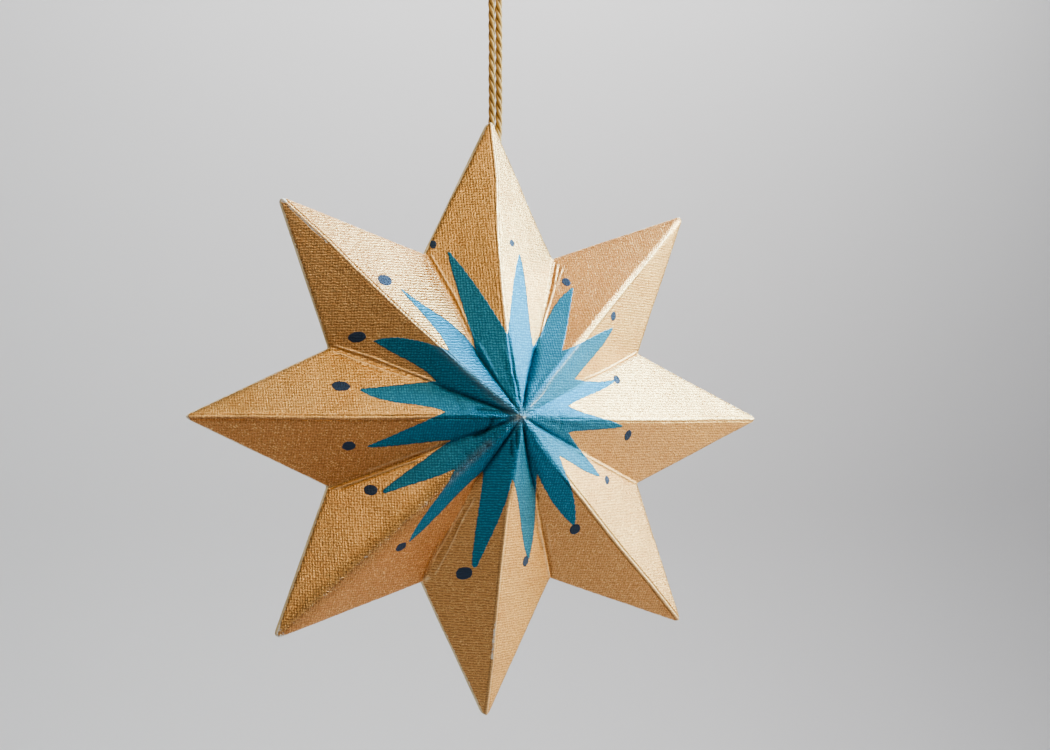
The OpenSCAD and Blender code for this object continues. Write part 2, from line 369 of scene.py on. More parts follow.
class ShaderGraph:
    """A material's node tree, with short calls for the nodes that the finishes use."""

    def __init__(self, name: str) -> None:
        """Starts an empty material.

        Args:
            name: the finish's name.
        """
        self.material = bpy.data.materials.new(name)
        self.material.use_nodes = True
        self.tree = self.material.node_tree
        self.tree.nodes.clear()

    def node(self, kind: str, **settings: object) -> bpy.types.Node:
        """Adds a node and sets its properties.

        Args:
            kind: the node's type.
            settings: its properties by name.

        Returns:
            The node.
        """
        made = self.tree.nodes.new(kind)
        for name, value in settings.items():
            setattr(made, name, value)
        return made

    def feed(self, socket: bpy.types.NodeSocket, value: Value) -> None:
        """Links a socket to another one, or sets it to a value."""
        if isinstance(value, bpy.types.NodeSocket):
            self.tree.links.new(value, socket)
        elif isinstance(value, tuple) and len(socket.default_value) == 4:
            socket.default_value = (*value, 1.0)
        else:
            socket.default_value = value

    def attribute(self, name: str) -> bpy.types.NodeSocket:
        """A number that the mesh carries at its points."""
        return self.node("ShaderNodeAttribute", attribute_name=name).outputs["Fac"]

    def object_mm(self) -> bpy.types.NodeSocket:
        """Object coordinates in millimetres."""
        source = self.node("ShaderNodeTexCoord").outputs["Object"]
        scaled = self.node("ShaderNodeVectorMath", operation="SCALE")
        self.feed(scaled.inputs[0], source)
        scaled.inputs["Scale"].default_value = 1.0 / MM
        return scaled.outputs[0]

    def math(self, operation: str, first: Value, second: Value = 0.0) -> bpy.types.NodeSocket:
        """Adds a sum of one or two numbers."""
        made = self.node("ShaderNodeMath", operation=operation)
        self.feed(made.inputs[0], first)
        self.feed(made.inputs[1], second)
        return made.outputs[0]

    def span(
        self, value: Value, low: float, high: float, start: float = 0.0, end: float = 1.0
    ) -> bpy.types.NodeSocket:
        """Maps a number softly from one span to another.

        Args:
            value: the number.
            low: where the span starts.
            high: where it ends.
            start: what low becomes.
            end: what high becomes.

        Returns:
            The mapped number.
        """
        made = self.node("ShaderNodeMapRange", interpolation_type="SMOOTHSTEP")
        self.feed(made.inputs["Value"], value)
        numbers = {"From Min": low, "From Max": high, "To Min": start, "To Max": end}
        for name, number in numbers.items():
            made.inputs[name].default_value = number
        return made.outputs[0]

    def blend(
        self, share: Value, first: Value, second: Value, how: str = "MIX"
    ) -> bpy.types.NodeSocket:
        """Mixes two colours.

        Args:
            share: how much of the second one.
            first: the colour below.
            second: the colour above.
            how: the kind of mix.

        Returns:
            The mixed colour.
        """
        made = self.node("ShaderNodeMix", data_type="RGBA", blend_type=how)
        self.feed(made.inputs[0], share)
        self.feed(made.inputs[6], first)
        self.feed(made.inputs[7], second)
        return made.outputs[2]

    def noise(
        self, where: Value, size: float, detail: float = 3.0, rough: float = 0.55
    ) -> bpy.types.NodeSocket:
        """Cloudy noise with features of about the given size.

        Args:
            where: the coordinates it is read at.
            size: width of its largest features, in the coordinates' unit.
            detail: how many finer layers it has.
            rough: strength of the finer layers.

        Returns:
            The noise, from 0 to 1.
        """
        made = self.node("ShaderNodeTexNoise")
        self.feed(made.inputs["Vector"], where)
        made.inputs["Scale"].default_value = 1.0 / size
        made.inputs["Detail"].default_value = detail
        made.inputs["Roughness"].default_value = rough
        return made.outputs["Fac"]

    def threads(
        self, where: Value, direction: str, pitch: float, waver: float
    ) -> bpy.types.NodeSocket:
        """Parallel ribs of a woven or laid surface.

        Args:
            where: the coordinates they are read at.
            direction: the axis across the ribs.
            pitch: distance from rib to rib.
            waver: how irregular they are.

        Returns:
            The ribs' height, from 0 to 1.
        """
        made = self.node(
            "ShaderNodeTexWave", wave_type="BANDS", bands_direction=direction, wave_profile="SIN"
        )
        self.feed(made.inputs["Vector"], where)
        made.inputs["Scale"].default_value = math.tau / (20.0 * pitch)
        made.inputs["Distortion"].default_value = waver
        made.inputs["Detail"].default_value = 2.0
        made.inputs["Detail Scale"].default_value = 1.4
        return made.outputs["Fac"]

    def bump(self, height: Value, depth: float) -> bpy.types.NodeSocket:
        """Turns a height from 0 to 1 into a surface normal.

        Args:
            height: the height.
            depth: what 1 stands for, in metres.

        Returns:
            The normal.
        """
        made = self.node("ShaderNodeBump")
        made.inputs["Distance"].default_value = depth
        self.feed(made.inputs["Height"], height)
        return made.outputs["Normal"]

    def finish(self, **inputs: Value) -> bpy.types.Material:
        """Closes the graph with the surface shader.

        Args:
            inputs: the shader's sockets by name, with _ for a space.

        Returns:
            The material.
        """
        shader = self.node("ShaderNodeBsdfPrincipled")
        for name, value in inputs.items():
            self.feed(shader.inputs[name.replace("_", " ")], value)
        output = self.node("ShaderNodeOutputMaterial")
        self.feed(output.inputs["Surface"], shader.outputs["BSDF"])
        return self.material


@dataclass(frozen=True)
class GoldCardFinish:
    """Metallic gold paint over woven-grained handmade card, with coats of paint on it.

    Each paint is darker in the grain's hollows, partly the grain's tone and partly painted shade,
    and the teal is lighter on the grain's crowns as a painted highlight. The creases are darkened
    as painted shade, the beads are lightened partly by burnishing and partly as painted
    highlight, chosen half facets turn coppery as a painted reflection of warm light that also
    shades them, and each paint has its own tone where it is rubbed off. Sizes of the grain are
    in millimetres, its depths in metres.
    """

    gold: Colour = (0.74, 0.45, 0.205)
    brown: Colour = (0.40, 0.205, 0.085)
    # Coppery tone, used for random tarnishing and for a painted reflection of warm light on chosen
    # half facets.
    copper_and_painted_reflection: Colour = (0.58, 0.285, 0.12)
    copper_and_painted_reflection_low: Colour = (0.34, 0.15, 0.06)
    # Painted shade in the creases.
    gold_groove_shade: Colour = (0.13, 0.07, 0.03)
    # Beads lightened, partly burnished and partly as painted highlight.
    pale: Colour = (1.0, 0.80, 0.50)
    glint: Colour = (0.98, 0.70, 0.35)
    bare: Colour = (0.80, 0.75, 0.67)
    teal: Colour = (0.045, 0.187, 0.280)
    # Painted highlight: the teal on the grain's crowns.
    teal_crown_highlight: Colour = (0.085, 0.370, 0.525)
    teal_groove_shade: Colour = (0.003, 0.02, 0.03)
    teal_smudged: Colour = (0.165, 0.255, 0.300)
    teal_rubbed: Colour = (0.42, 0.44, 0.43)
    slate: Colour = (0.045, 0.075, 0.130)
    gold_metal: float = 0.86
    teal_metal: float = 0.44
    thread_pitch: float = 0.66
    grain_size: float = 0.6
    glint_size: float = 0.4
    grain_depth: float = 0.0002
    coat_depth: float = 0.00010
    gloss: float = 0.34
    painted: bool = True

    def make(self, name: str) -> bpy.types.Material:
        """Builds the material.

        Args:
            name: its name.

        Returns:
            The material.
        """
        g = ShaderGraph(name)
        place = g.object_mm()
        across = g.threads(place, "Z", self.thread_pitch, 3.6)
        along = g.threads(place, "X", self.thread_pitch * 0.9, 3.4)
        grain = g.noise(place, self.grain_size, 4.0, 0.65)
        cloud = g.noise(place, 7.0, 3.0, 0.5)
        rough = g.attribute("rough")
        woven = g.math("MULTIPLY", g.math("ADD", across, along), 0.5)
        weave = g.blend(g.attribute("laid"), woven, across)
        height = g.math("ADD", g.math("MULTIPLY", weave, 0.3), g.math("MULTIPLY", grain, 0.7))

        # Partly the grain's tone and partly painted shade: brown in the grain's hollows, gold on
        # its crowns.
        shade = g.span(height, 0.34, 0.6, 0.3, 1.0)
        colour = g.blend(shade, self.brown, self.gold)
        # Tarnished in random clouds, and on chosen half facets a coppery painted reflection of warm
        # light that also shades them.
        tarnish_and_painted_reflection = g.math("MAXIMUM", g.span(cloud, 0.42, 0.72, 0.0, 0.3), g.attribute("copper_and_painted_reflection"))
        colour = g.blend(tarnish_and_painted_reflection, colour, g.blend(shade, self.copper_and_painted_reflection_low, self.copper_and_painted_reflection))
        glints = g.span(g.noise(place, self.glint_size, 2.0), 0.55, 0.68, 0.0, 0.6)
        colour = g.blend(glints, colour, self.glint)
        # Painted shade: darker where the mesh marks creases.
        groove_shade = g.attribute("groove_shade")
        colour = g.blend(g.math("MULTIPLY", groove_shade, 0.65), colour, self.gold_groove_shade)
        # Beads lightened, partly burnished and partly as painted highlight.
        burnish_and_highlight = g.math("MULTIPLY", g.attribute("burnish_and_highlight"), 0.55)
        colour = g.blend(burnish_and_highlight, colour, self.pale)
        matt = g.span(grain, 0.3, 0.7, self.gloss + 0.08, self.gloss - 0.05)

        fleck = g.noise(place, 1.3, 5.0, 0.75)
        worn = g.span(g.math("ADD", g.attribute("wear"), fleck), 0.98, 1.16)
        colour = g.blend(worn, colour, self.bare)
        metal = g.math("SUBTRACT", self.gold_metal, g.math("MULTIPLY", worn, 0.8))

        coarse = g.math("ADD", 1.0, g.math("MULTIPLY", rough, 2.2))
        relief = g.math("MULTIPLY", g.math("SUBTRACT", height, 0.5), coarse)
        if self.painted:
            frayed = g.math("MULTIPLY", g.math("SUBTRACT", g.noise(place, 0.9, 3.0), 0.5), 0.55)
            teal_mm = g.math("ADD", g.attribute("teal"), frayed)
            slate_mm = g.math("ADD", g.attribute("slate"), g.math("MULTIPLY", frayed, 0.7))
            teal_on = g.span(teal_mm, -0.07, 0.07)
            slate_on = g.span(slate_mm, -0.08, 0.08)
            # Painted highlight: the teal is lighter on the grain's crowns.
            teal = g.blend(g.span(height, 0.42, 0.8), self.teal, self.teal_crown_highlight)
            # Painted shade: the teal is darker in the creases.
            teal = g.blend(g.math("MULTIPLY", groove_shade, 0.7), teal, self.teal_groove_shade)
            smudge = g.math("MULTIPLY", g.attribute("smudge"), 0.7)
            teal = g.blend(smudge, teal, self.teal_smudged)
            teal = g.blend(g.math("MULTIPLY", worn, 0.75), teal, self.teal_rubbed)
            colour = g.blend(teal_on, colour, teal)
            colour = g.blend(slate_on, colour, self.slate)
            covered = g.math("MAXIMUM", teal_on, slate_on)
            metal = g.math("MULTIPLY", metal, g.math("SUBTRACT", 1.0, covered))
            metal = g.math("ADD", metal, g.math("MULTIPLY", teal_on, self.teal_metal))
            matt = g.math("ADD", matt, g.math("MULTIPLY", covered, 0.09))
            coat = g.math("MAXIMUM", g.span(teal_mm, -0.1, 0.25), g.span(slate_mm, -0.1, 0.25))
            coat = g.math("MULTIPLY", coat, self.coat_depth / self.grain_depth)
            relief = g.math("ADD", relief, coat)
        return g.finish(
            Base_Color=colour,
            Metallic=metal,
            Roughness=matt,
            Specular_IOR_Level=0.34,
            Normal=g.bump(relief, self.grain_depth),
        )


@dataclass(frozen=True)
class CutEdgeFinish:
    """The bare cut edge of the card, cream to khaki, with its fibres."""

    light: Colour = (0.92, 0.80, 0.54)
    dark: Colour = (0.60, 0.46, 0.24)

    def make(self, name: str) -> bpy.types.Material:
        """Builds the material.

        Args:
            name: its name.

        Returns:
            The material.
        """
        g = ShaderGraph(name)
        place = g.object_mm()
        fibres = g.noise(place, 0.5, 4.0, 0.7)
        patches = g.noise(place, 9.0, 2.0)
        colour = g.blend(g.span(g.math("ADD", fibres, patches), 0.75, 1.25), self.dark, self.light)
        return g.finish(Base_Color=colour, Roughness=0.82, Normal=g.bump(fibres, 0.00008))


@dataclass(frozen=True)
class CordFinish:
    """Ochre cotton twine: fibres along each strand, darkened between the strands as painted shade.
    """

    light: Colour = (0.60, 0.365, 0.135)
    mid: Colour = (0.42, 0.24, 0.078)
    groove_shade: Colour = (0.16, 0.075, 0.02)

    def make(self, name: str) -> bpy.types.Material:
        """Builds the material.

        Args:
            name: its name.

        Returns:
            The material.
        """
        g = ShaderGraph(name)
        fibre_place = g.node("ShaderNodeMapping")
        g.feed(fibre_place.inputs["Vector"], g.node("ShaderNodeTexCoord").outputs["UV"])
        fibre_place.inputs["Scale"].default_value = (26.0, 60.0, 1.0)
        fibre_place.inputs["Rotation"].default_value = (0.0, 0.0, 0.25)
        fibres = g.noise(fibre_place.outputs[0], 1.0, 4.0, 0.6)
        patches = g.noise(g.object_mm(), 5.0, 2.0)
        crown = g.attribute("crown")
        tone = g.math("ADD", fibres, g.math("MULTIPLY", patches, 0.5))
        colour = g.blend(g.span(tone, 0.5, 1.0), self.mid, self.light)
        # Painted shade: darker in the hollows between the strands.
        colour = g.blend(g.span(crown, 0.05, 0.6, 0.92, 0.0), colour, self.groove_shade)
        return g.finish(
            Base_Color=colour,
            Roughness=0.8,
            Sheen_Weight=0.15,
            Sheen_Roughness=0.4,
            Normal=g.bump(fibres, 0.00009),
        )


@dataclass(frozen=True)
class PlainFinish:
    """A plain matt finish for the studio."""

    colour: Colour

    def make(self, name: str) -> bpy.types.Material:
        """Builds the material.

        Args:
            name: its name.

        Returns:
            The material.
        """
        return ShaderGraph(name).finish(Base_Color=self.colour, Roughness=0.9)


@dataclass(frozen=True)
class Spike:
    """One painted spike on its half facet, and the root after it.

    The lean is counted from the half facet's middle and the root's turn from the fold
    that ends it, in degrees. Going and coming are the outward swell of its two sides at
    a third and two thirds of their length.
    """

    reach: float
    lean: float
    going: Point
    coming: Point
    root_r: float
    root_turn: float
    blunt: float = 0.35


@dataclass(frozen=True)
class Dot:
    """One painted dot: its place from the star's middle, its size and its tilt."""

    radius: float
    degrees: float
    wide: float
    high: float
    tilt: float = 0.0


@dataclass
class PaintedStarburst:
    """The teal starburst and its slate dots, painted by hand on the front sheet."""

    spikes: tuple[Spike, ...] = (
        Spike(43.1, 4.9, (0.4, 0.5), (0.2, 0.1), 18.7, 3.7),
        Spike(40.4, 5.4, (1.2, 0.5), (-0.4, -0.7), 22.4, -1.1),
        Spike(36.7, 3.2, (1.0, 1.4), (-0.2, -0.6), 20.1, -3.9),
        Spike(36.1, 0.5, (0.0, 0.0), (0.9, 0.1), 16.9, -5.5),
        Spike(34.2, 0.4, (0.1, 0.0), (0.2, 0.0), 15.8, -3.2),
        Spike(34.1, -2.3, (0.0, 0.1), (0.0, 0.2), 18.7, -4.9, 1.0),
        Spike(37.7, -3.8, (0.1, 0.5), (0.1, -0.3), 14.3, -5.8),
        Spike(36.9, 1.3, (0.0, 0.2), (0.3, 0.5), 14.4, -2.2, 1.1),
        Spike(35.7, 1.7, (-0.3, 0.2), (0.9, 0.8), 14.6, 4.9, 0.7),
        Spike(32.9, 1.8, (0.8, 0.8), (0.7, 0.3), 14.9, 7.8),
        Spike(29.8, 4.8, (0.2, 0.4), (0.3, 0.1), 14.8, 10.1),
        Spike(30.6, 7.8, (0.0, 0.1), (0.0, -0.3), 14.4, 12.7),
        Spike(32.7, 6.3, (0.0, 0.3), (-0.6, -0.5), 19.8, 7.3),
        Spike(37.7, 3.9, (0.3, 0.6), (0.2, 0.1), 21.0, 6.9),
        Spike(38.6, 2.7, (0.3, 0.2), (0.9, 0.3), 18.5, 2.9),
        Spike(41.4, 4.0, (0.0, 0.4), (0.5, 0.3), 20.3, 4.1),
    )
    dots: tuple[Dot, ...] = (
        Dot(45.9, 109.2, 1.5, 2.1),
        Dot(44.4, 131.4, 3.8, 2.7, -10.0),
        Dot(40.3, 151.0, 3.8, 2.6, 10.0),
        Dot(40.3, 169.2, 4.1, 2.4),
        Dot(38.4, -169.8, 3.0, 2.2),
        Dot(36.4, -151.2, 2.9, 2.5),
        Dot(39.9, -128.6, 2.9, 1.9, 35.0),
        Dot(39.1, -102.3, 3.6, 3.1, 25.0),
        Dot(36.2, -78.5, 1.9, 2.7),
        Dot(33.8, -54.8, 2.5, 2.8),
        Dot(32.7, -28.3, 1.6, 2.3),
        Dot(33.4, -7.0, 2.1, 2.7),
        Dot(33.0, 17.5, 1.9, 2.2),
        Dot(39.3, 41.3, 1.9, 2.4),
        Dot(39.4, 61.6, 2.1, 2.2),
        Dot(43.7, 85.9, 1.6, 1.8),
    )
    steps: int = 8
    reach_limit: float = 50.0
    edge_limit: float = 6.0

    def side(self, start: Point, end: Point, swell: Point) -> list[Point]:
        """One side of a spike, swelled outwards by its two measures.

        Each swell is a cubic that is 1 at its own third of the side and 0 at the other.

        Args:
            start: where the side starts.
            end: where it ends, left out of the result.
            swell: its outward swell at a third and two thirds.

        Returns:
            Points along the side.
        """
        a, b = np.array(start), np.array(end)
        along = b - a
        outwards = np.array([along[1], -along[0]]) / np.linalg.norm(along)
        made: list[Point] = []
        for step in range(self.steps):
            t = step / self.steps
            one = 13.5 * t * (t - 2 / 3) * (t - 1) * swell[0]
            two = -13.5 * t * (t - 1 / 3) * (t - 1) * swell[1]
            place = a + along * t + outwards * (one + two)
            made.append((float(place[0]), float(place[1])))
        return made

    def outline(self) -> list[Point]:
        """The starburst's outline, anticlockwise."""
        step = 360.0 / len(self.spikes)
        roots = [
            polar(s.root_r, 90.0 + step * (i + 1) + s.root_turn) for i, s in enumerate(self.spikes)
        ]
        made: list[Point] = []
        for i, spike in enumerate(self.spikes):
            degrees = 90.0 + step * (i + 0.5) + spike.lean
            half = math.degrees(spike.blunt / 2 / spike.reach)
            first, second = polar(spike.reach, degrees - half), polar(spike.reach, degrees + half)
            made += self.side(roots[i - 1], first, spike.going)
            made += [first, polar(spike.reach + spike.blunt * 0.4, degrees)]
            made += self.side(second, roots[i], spike.coming)
        return made

    def coverage(self, flat: np.ndarray) -> dict[str, np.ndarray]:
        """Distances to the edges of both coats, positive where the paint lies.

        Args:
            flat: points of the plane, one row each.

        Returns:
            The distances for the teal and the slate coat.
        """
        near = np.hypot(flat[:, 0], flat[:, 1]) < self.reach_limit
        teal = np.full(len(flat), -self.edge_limit)
        slate = teal.copy()
        teal[near] = signed_distance(flat[near], self.outline())
        for dot in self.dots:
            away = flat[near] - np.array(polar(dot.radius, dot.degrees))
            turn = math.radians(dot.tilt)
            u = away[:, 0] * math.cos(turn) + away[:, 1] * math.sin(turn)
            v = away[:, 1] * math.cos(turn) - away[:, 0] * math.sin(turn)
            spread = np.hypot(u / (dot.wide / 2), v / (dot.high / 2))
            slate[near] = np.maximum(slate[near], (1.0 - spread) * min(dot.wide, dot.high) / 2)
        return {
            "teal": np.clip(teal, -self.edge_limit, self.edge_limit),
            "slate": np.clip(slate, -self.edge_limit, self.edge_limit),
        }


@dataclass
class CordRoute:
    """Where the cord's middle line runs: x and height of each point, in millimetres.

    The points are those of the part's own cord. Each leg passes between the two sheets
    at the top point, and the legs lie a little one behind the other further up.
    """

    up: tuple[Point, ...] = (
        (-0.4, -72), (0, -68), (0.4, -64), (0.6, -60), (0.7, -56), (0.7, -50), (0.6, -44),
        (0.6, -38), (0.5, -32), (0.4, -26),
    )
    eye: tuple[Point, ...] = (
        (-0.1, -21), (-1.6, -16), (-3.3, -11.5), (-4.1, -7), (-3.5, -2.6), (-1.9, 0.2), (0, 0.9),
        (1.9, 0.2), (3.6, -2.6), (4.6, -7), (4.3, -11.5), (3.3, -16), (2.6, -21),
    )
    down: tuple[Point, ...] = (
        (2.3, -26), (2.4, -32), (2.5, -38), (2.5, -44), (2.6, -50), (2.6, -56), (2.5, -60),
        (2.3, -64), (1.9, -68), (1.5, -72),
    )

    def leg_x(self, height: np.ndarray, leg: Sequence[Point]) -> np.ndarray:
        """How far right a leg lies at each height."""
        rising = sorted(leg, key=lambda p: p[1])
        return np.interp(height, [p[1] for p in rising], [p[0] for p in rising])

    def smooth(self, spacing: float) -> np.ndarray:
        """The whole route as an even, smooth line.

        Args:
            spacing: distance from point to point.

        Returns:
            x, y and height of each point, in millimetres.
        """
        route = list(self.up) + list(self.eye) + list(self.down)
        ends = [route[0]] + route + [route[-1]]
        fine: list[np.ndarray] = []
        for a, b, c, d in zip(ends[:-3], ends[1:-2], ends[2:-1], ends[3:]):
            a, b, c, d = (np.array(p, float) for p in (a, b, c, d))
            for t in np.linspace(0.0, 1.0, 24, endpoint=False):
                fine.append(0.5 * (2 * b + (c - a) * t + (2 * a - 5 * b + 4 * c - d) * t**2
                                   + (3 * b - a - 3 * c + d) * t**3))
        line = np.array(fine + [np.array(route[-1], float)])
        run = np.concatenate([[0.0], np.cumsum(np.linalg.norm(np.diff(line, axis=0), axis=1))])
        places = np.linspace(0.0, run[-1], int(run[-1] / spacing) + 1)
        x = np.interp(places, run, line[:, 0])
        height = np.interp(places, run, line[:, 1])
        return np.stack([x, np.zeros_like(x), height], axis=1)


@dataclass
class FoldedSheet:
    """One folded sheet of the star, from its face down to the seam with the other sheet.

    tucks, copper and laid have one number for each half facet: the depth of its tuck, how far
    its gold turns coppery as a painted reflection of warm light that also shades it, and how far
    its grain is laid lines instead of a weave. Depths and widths are in millimetres. Ends and
    blends are shares of the way from the middle to the rim: the folds are soft up to
    middle_end, and the valleys are drawn in up to gather_end.
    Of the cord's legs only the rising one has a passage between the sheets here: the other
    one runs through the rim and the glued land for a few millimetres.
    """

    name: str
    face: Face
    plan: StarPlan
    ridges: tuple[Ridge, ...]
    valleys: tuple[Valley, ...]
    drifts: tuple[Drift, ...]
    tucks: tuple[float, ...]
    copper_and_painted_reflection: tuple[float, ...]
    laid: tuple[float, ...]
    creases: tuple[Crease, ...]
    worn: tuple[WornLine, ...]
    smudges: tuple[WornLine, ...]
    paint: Optional[PaintedStarburst]
    cuts: int
    seed: int
    apex: Point = (0.1, 0.65)
    drift_at: tuple[float, float, float] = (8.0, 17.0, 28.0)
    ridge_drift_end: float = 60.0
    middle_end: float = 0.2
    middle_blend: float = 0.12
    middle_rounding: float = 1.2
    valley_rounding: float = 0.7
    valley_bead_width: float = 0.36
    score_away: float = 0.78
    score_width: float = 0.27
    gather_end: float = 0.36
    gather_blend: float = 0.16
    gather_depth: float = 0.36
    gather_width: float = 0.6
    crease_depth: float = 0.42
    crease_width: float = 0.28
    tuck_depth: float = 0.3
    tuck_width: float = 0.17
    flattened: float = 0.7
    flattened_r: float = 2.6
    tip_lift: float = 0.1
    rim_rounding: float = 0.2
    rim_rounding_width: float = 0.22
    rim_wear: float = 0.58
    rim_wear_width: float = 0.35
    crowding: float = 0.45
    ridge_slope: float = 0.728
    warp: float = 0.16
    crumple: float = 0.048
    cord: CordRoute = field(default_factory=CordRoute)
    passage_r: float = 1.05
    passage_end: float = -74.0
    inner_rise: float = 0.88
    inner_blend_from: float = 0.89
    inner_rings: tuple[float, ...] = (0.93, 0.9, 0.87, 0.84, 0.8, 0.5)

    FACE, FOOT, LAND, INNER = 0.0, -1.0, -2.0, -3.0

    def flat_form(self) -> bmesh.types.BMesh:
        """The sheet laid out flat: a dense face, its cut edge, the glued land and the inside.

        Returns:
            The flat form. The height of each vertex only says which layer it is in.
        """
        form = bmesh.new()
        sides = 2 * self.plan.points
        bmesh.ops.create_circle(form, cap_ends=True, cap_tris=True, segments=sides, radius=1.0)
        for vert in form.verts:
            if vert.co.length > 0.5:
                turn = math.degrees(math.atan2(vert.co.y, vert.co.x)) - 90.0
                index = round(turn / self.plan.half_step)
                vert.co.xy = self.plan.corner(index % sides)
        bmesh.ops.subdivide_edges(form, edges=form.edges[:], cuts=self.cuts, use_grid_fill=True)
        rim = [edge for edge in form.edges if edge.is_boundary]
        rim = self.drop_ring(form, rim, 1.0, self.FOOT)
        before = self.plan.land_share
        rim = self.drop_ring(form, rim, before, self.LAND)
        for ring in self.inner_rings:
            rim = self.drop_ring(form, rim, ring / before, self.INNER)
            before = ring
        rim = self.drop_ring(form, rim, 0.001, self.INNER)
        inner_apex = list({vert for edge in rim for vert in edge.verts})
        bmesh.ops.pointmerge(form, verts=inner_apex, merge_co=Vector((0.0, 0.0, self.INNER)))
        bmesh.ops.recalc_face_normals(form, faces=form.faces[:])
        return form

    def drop_ring(
        self, form: bmesh.types.BMesh, rim: list[bmesh.types.BMEdge], scale: float, layer: float
    ) -> list[bmesh.types.BMEdge]:
        """Draws the open edge out into the next ring.

        Args:
            form: the flat form.
            rim: its open edge.
            scale: size of the new ring against the edge.
            layer: the layer that the new ring is in.

        Returns:
            The new open edge.
        """
        drawn = bmesh.ops.extrude_edge_only(form, edges=rim)["geom"]
        for vert in (part for part in drawn if isinstance(part, bmesh.types.BMVert)):
            vert.co = Vector((vert.co.x * scale, vert.co.y * scale, layer))
        return [part for part in drawn if isinstance(part, bmesh.types.BMEdge) and part.is_boundary]

    def crowd(self, flat: np.ndarray, place: FacetPlace) -> np.ndarray:
        """Moves the points along each facet towards its folds, where the fine lines are.

        Args:
            flat: points of the plane, one row each.
            place: their places on the folded face.

        Returns:
            The crowded points.
        """
        shift = -self.crowding * np.sin(place.share * math.tau) / math.tau
        ridge, valley = self.plan.fold_ends(place.facet)
        return flat + (place.out * shift)[:, None] * (valley - ridge)

    def stray(self, flat: np.ndarray, place: FacetPlace) -> np.ndarray:
        """Moves the folds sideways to where they really run, and rounds the points' ends.

        Args:
            flat: points of the plane, one row each.
            place: their places on the folded face.

        Returns:
            The moved points.
        """
        radius = np.hypot(flat[:, 0], flat[:, 1])
        turn = np.zeros(len(flat))
        for is_valley in (False, True):
            weight = place.share if is_valley else 1.0 - place.share
            for index in range(self.plan.points):
                drift = self.drifts[2 * index + (1 if is_valley else 0)]
                fold = place.facet // 2 if is_valley else (place.facet + 1) // 2 % self.plan.points
                end = self.plan.notch_r if is_valley else self.ridge_drift_end
                here = np.interp(
                    radius, [*self.drift_at, end], [drift.inner, drift.near, drift.half_out, 0.0]
                )
                turn += np.where(fold == index, weight * here, 0.0)
        turn = np.radians(turn)
        moved = np.stack([
            flat[:, 0] * np.cos(turn) - flat[:, 1] * np.sin(turn),
            flat[:, 0] * np.sin(turn) + flat[:, 1] * np.cos(turn),
        ], axis=1)
        beyond = np.maximum(radius - self.plan.blunt_from, 0.0)
        squeezed = beyond / (1.0 + self.plan.blunt_squeeze * beyond)
        moved *= ((radius - beyond + squeezed) / np.maximum(radius, 1e-6))[:, None]
        lift = (1.0 - place.out) ** 2
        moved += lift[:, None] * np.array(self.apex)
        return moved

    def crisp(self, place: FacetPlace) -> np.ndarray:
        """How sharp the folds are at each point, from 0 at the middle to 1."""
        return soft((place.out - self.middle_end) / self.middle_blend)

    def ridge_values(self, place: FacetPlace, name: str) -> np.ndarray:
        """A measure of each point's own ridge."""
        values = np.array([getattr(ridge, name) for ridge in self.ridges])
        return values[((place.facet + 1) // 2) % self.plan.points]

    def valley_values(self, place: FacetPlace, name: str) -> np.ndarray:
        """A measure of each point's own valley."""
        values = np.array([getattr(valley, name) for valley in self.valleys])
        return values[place.facet // 2]

    def fold_ridges(self, place: FacetPlace) -> FaceForm:
        """Rounds the ridges and presses their beads and the lines beside them.

        Args:
            place: the points' places on the folded face.

        Returns:
            The face's form, with only its ridges.
        """
        away = place.from_ridge
        crisp = self.crisp(place)
        rounding = self.ridge_values(place, "rounding") * crisp
        rounding += self.middle_rounding * (1.0 - crisp)
        rounding = np.minimum(rounding, 0.1 + 20.0 * place.out)
        height = -self.ridge_slope * rounding / 2 * np.clip(1.0 - away / rounding, 0.0, 1.0) ** 2
        width = self.ridge_values(place, "bead_width")
        bead = self.ridge_values(place, "bead")
        crest = crisp * np.exp(-np.square(away / width))
        line = np.where(place.facet % 2 == 0, self.ridge_values(place, "line_after"),
                        self.ridge_values(place, "line_before"))
        pressed = np.exp(-np.square((away - 1.7 * width) / (0.5 * width))) * crisp
        return FaceForm(
            height=height + bead * crest - line * pressed,
            # Painted shade: the lines pressed beside the ridge are darkened.
            groove_shade=np.clip(line / 0.3, 0.0, 1.0) * pressed,
            # The bead's crest is lightened, partly burnished and partly as painted highlight.
            burnish_and_highlight=np.clip(2.5 * bead, 0.0, 1.0) * crest,
        )

    def fold_valleys(self, form: FaceForm, place: FacetPlace) -> None:
        """Rounds and scores the valleys, and draws them in round the middle.

        Args:
            form: the face's form, which is changed.
            place: the points' places on the folded face.
        """
        away, out, crisp = place.from_valley, place.out, self.crisp(place)
        near = np.clip(1.0 - away / self.valley_rounding, 0.0, 1.0)
        form.height += self.ridge_slope * self.valley_rounding / 2 * near**2 * crisp
        bead = self.valley_values(place, "bead") * crisp
        form.height += bead * bell(away, self.valley_bead_width)
        line = self.valley_values(place, "line")
        scored = bell(away - self.score_away, self.score_width) * crisp
        # The score lines are pressed in and darkened as painted shade.
        form.sink(line * scored, np.clip(line * 3.0, 0.0, 1.0) * scored)

        drawn_in = soft(out / 0.1) * (1.0 - soft((out - self.gather_end) / self.gather_blend))
        gathered = self.valley_values(place, "gather") * drawn_in * bell(away, self.gather_width)
        form.height -= self.gather_depth * gathered
        pinched = self.valley_values(place, "pinch") * drawn_in * bell(away, self.crease_width)
        # The crease at the middle is pinched in and darkened as painted shade.
        form.sink(self.crease_depth * pinched, 0.8 * np.square(np.clip(pinched, 0.0, 1.0)))

